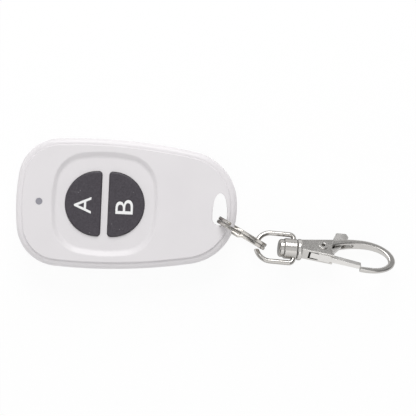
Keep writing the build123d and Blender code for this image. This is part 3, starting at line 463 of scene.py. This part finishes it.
# %% [markdown]
# ## The end of the lanyard slot
# The engineering model cuts the slot with two round ends, which leave the ring room to swing. In
# the photograph the open end tapers like the end of an ellipse. A liner gives it that: a block of
# the slot's outline, as deep as the lip there, with an ellipse cut out of it by a boolean. Only
# the half that the ring stays clear of is kept.

# %% Cutting helpers
slot_middle = (25.4 * MM, 0.0)
slot_sides = 64


def cut_away(piece, cutter):
    """Take one closed mesh out of another and drop the cutter."""
    pick_only(piece)
    tool = piece.modifiers.new("cut", "BOOLEAN")
    tool.operation = "DIFFERENCE"
    tool.object = cutter
    bpy.ops.object.modifier_apply(modifier=tool.name)
    pick_only(cutter)
    bpy.ops.object.delete()


def slot_cylinder(radius, low, high):
    """An upright cylinder about the slot's middle."""
    bpy.ops.object.select_all(action="DESELECT")
    bpy.ops.mesh.primitive_cylinder_add(vertices=slot_sides, radius=radius, depth=high - low,
                                        location=(*slot_middle, (low + high) / 2))
    return bpy.context.active_object


# %% [markdown]
# The block is a cylinder whose far half is moved outward. It laps a little into the cover's wall
# and stands a hair above its face, so that no edge of the slot shows through.

# %% Shape the block
slot_end_radius = 2.0 * MM
slot_straight_half = 2.5 * MM
cover_top = 10.0 * MM
liner_lap = 0.3 * MM
liner_rise = 0.01 * MM
liner_low = 5.32 * MM
liner_top = cover_top + liner_rise
liner = slot_cylinder(slot_end_radius + liner_lap, liner_low, liner_top)
liner.name = "slot_liner"
settle(liner)
bpy.ops.object.mode_set(mode="EDIT")
bpy.ops.mesh.select_all(action="DESELECT")
bpy.ops.object.mode_set(mode="OBJECT")
for vertex in liner.data.vertices:
    vertex.select = vertex.co.y > 0
bpy.ops.object.mode_set(mode="EDIT")
bpy.ops.transform.translate(value=(0.0, slot_straight_half, 0.0))
bpy.ops.object.mode_set(mode="OBJECT")
print(liner.name, "block sides", slot_sides)

# %% [markdown]
# Two cutters finish it. The first is a cylinder of 1 mm radius stretched to the photographed oval,
# and the second a cube that takes away all that lies towards the ring.

# %% Cut the oval and the near half
oval_half = (1.86 * MM, 4.36 * MM)
cutter_low, cutter_high = -1.0 * MM, 12.0 * MM
oval = slot_cylinder(MM, cutter_low, cutter_high)
oval.scale = (oval_half[0] / MM, oval_half[1] / MM, 1.0)
settle(oval)
cut_away(liner, oval)
liner_start = 0.5 * MM
cube_size = 12.0 * MM
cube_height = 5.0 * MM
cube_stretch = 1.2
bpy.ops.object.select_all(action="DESELECT")
bpy.ops.mesh.primitive_cube_add(size=cube_size,
                                location=(slot_middle[0], liner_start - cube_size / 2, cube_height))
near_block = bpy.context.active_object
settle(near_block)
near_block.scale.z = cube_stretch
settle(near_block)
cut_away(liner, near_block)
liner.data.materials.clear()
liner.data.materials.append(FINISHES["case_plastic"])
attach(liner, "fob")
print(liner.name, "faces", len(liner.data.polygons))

# %% [markdown]
# ## The stage
# The photograph is a plain cut-out on white, taken from straight above, with the light coming
# softly from the far side. A pale floor, a wide lamp beyond the fob and a weak fill give that. The
# plated pieces only look like metal if they have something dark to reflect, so the surroundings
# are white at the horizon, dark above it, and bright again overhead, behind the camera. On the
# far side the surroundings also turn grey low down, like a card, which the flat cheeks of the clasp mirror.

# %% Floor
floor_half = 900.0 * MM
floor_gap = 0.05 * MM
bpy.ops.object.select_all(action="DESELECT")
bpy.ops.mesh.primitive_plane_add(size=2 * floor_half, location=(0.0, 0.0, cad_low.z - floor_gap))
floor = bpy.context.active_object
floor.name = "floor"
paper = bpy.data.materials.new("Paper")
paper.use_nodes = True
paper_tree = paper.node_tree
paper_shader = paper_tree.nodes["Principled BSDF"]
paper_shader.inputs["Base Color"].default_value = (0.90, 0.90, 0.90, 1.0)
paper_shader.inputs["Roughness"].default_value = 0.9
glow_share = 0.93
paper_glow = paper_tree.nodes.new("ShaderNodeEmission")
paper_path = paper_tree.nodes.new("ShaderNodeLightPath")
paper_mix = paper_tree.nodes.new("ShaderNodeMixShader")
seen = paper_path.outputs["Is Camera Ray"]
for ray in ("Is Glossy Ray", "Is Transmission Ray"):
    seen = math_node(paper_tree, "MAXIMUM", seen, paper_path.outputs[ray])
paper_tree.links.new(math_node(paper_tree, "MULTIPLY", seen, glow_share), paper_mix.inputs["Fac"])
paper_tree.links.new(paper_shader.outputs["BSDF"], paper_mix.inputs[1])
paper_tree.links.new(paper_glow.outputs["Emission"], paper_mix.inputs[2])
paper_tree.links.new(paper_mix.outputs["Shader"], paper_tree.nodes["Material Output"].inputs["Surface"])
floor.data.materials.append(paper)

# %% Light


def soft_lamp(name, place, aim, size, power):
    """A square area lamp at a place, turned to face another."""
    bpy.ops.object.select_all(action="DESELECT")
    bpy.ops.object.light_add(type="AREA", location=place)
    lamp = bpy.context.active_object
    lamp.name = name
    lamp.data.size = size
    lamp.data.energy = power
    lamp.rotation_mode = "QUATERNION"
    lamp.rotation_quaternion = (Vector(aim) - Vector(place)).to_track_quat("-Z", "Y")
    return lamp


look_at = (22.0 * MM, 0.0, 5.0 * MM)
soft_lamp("far lamp", (10.0 * MM, 420.0 * MM, 330.0 * MM), look_at, 0.36, 2.1)
soft_lamp("near fill", (60.0 * MM, -420.0 * MM, 380.0 * MM), look_at, 0.50, 0.75)
soft_lamp("left fill", (-460.0 * MM, 40.0 * MM, 260.0 * MM), look_at, 0.30, 0.3)

# %% Surroundings
world = bpy.data.worlds.new("Studio tent")
bpy.context.scene.world = world
world.use_nodes = True
world_tree = world.node_tree
tent = world_tree.nodes["Background"]
direction = world_tree.nodes.new("ShaderNodeTexCoord")
parts = world_tree.nodes.new("ShaderNodeSeparateXYZ")
world_tree.links.new(direction.outputs["Generated"], parts.inputs["Vector"])


def height_ramp(levels):
    """Grey levels over the height of a direction: 0 is the horizon and 1 straight up. The first two
    go to the stops that a new ramp has, and each of the rest to a stop of its own."""
    ramp = world_tree.nodes.new("ShaderNodeValToRGB")
    world_tree.links.new(parts.outputs["Z"], ramp.inputs["Fac"])
    stops = ramp.color_ramp.elements
    given = len(stops)
    for index, (position, level) in enumerate(levels):
        stop = stops[index] if index < given else stops.new(position)
        stop.position = position
        stop.color = (level, level, level, 1.0)
    return ramp.outputs["Color"]


near_side = height_ramp(((0.0, 1.0), (1.0, 0.95), (0.10, 0.95), (0.26, 0.90), (0.36, 0.14), (0.60, 0.18),
                         (0.84, 0.45), (0.93, 0.95)))
far_side = height_ramp(((0.0, 1.0), (1.0, 0.95), (0.05, 0.95), (0.09, 0.38), (0.30, 0.45), (0.40, 0.14),
                        (0.60, 0.18), (0.84, 0.45), (0.93, 0.95)))
far_gain = 2.0
farness = math_node(world_tree, "MULTIPLY", parts.outputs["Y"], far_gain, clamp=True)
world_tree.links.new(mix_colour(world_tree, farness, near_side, far_side), tent.inputs["Color"])

# %% [markdown]
# ## The camera
# The photograph looks straight down. Its frame is about 113 mm wide, and the fob's long axis is
# turned a little clockwise in it, so the camera is rolled the other way.

# %% Camera
frame_width = 113.0 * MM
camera_height = 420.0 * MM
face_height = 8.0 * MM
frame_middle = (22.14 * MM, 0.15 * MM)
camera_roll = math.radians(2.5)
bpy.ops.object.select_all(action="DESELECT")
bpy.ops.object.camera_add(location=(*frame_middle, camera_height + face_height),
                          rotation=(0.0, 0.0, camera_roll))
camera = bpy.context.active_object
camera.data.lens = camera.data.sensor_width * camera_height / frame_width
camera.data.clip_start = 10.0 * MM
camera.data.clip_end = 5.0
scene = bpy.context.scene
scene.camera = camera
scene.view_settings.view_transform = "Standard"

# %% [markdown]
# ## Sizes
# The box that the engineering model fills is measured as it is loaded, and its size is printed.
# The dressed model has to fit the box that the engineering model fills.

# %% Sizes
print("cad size mm", [round(c / MM, 2) for c in cad_high - cad_low])
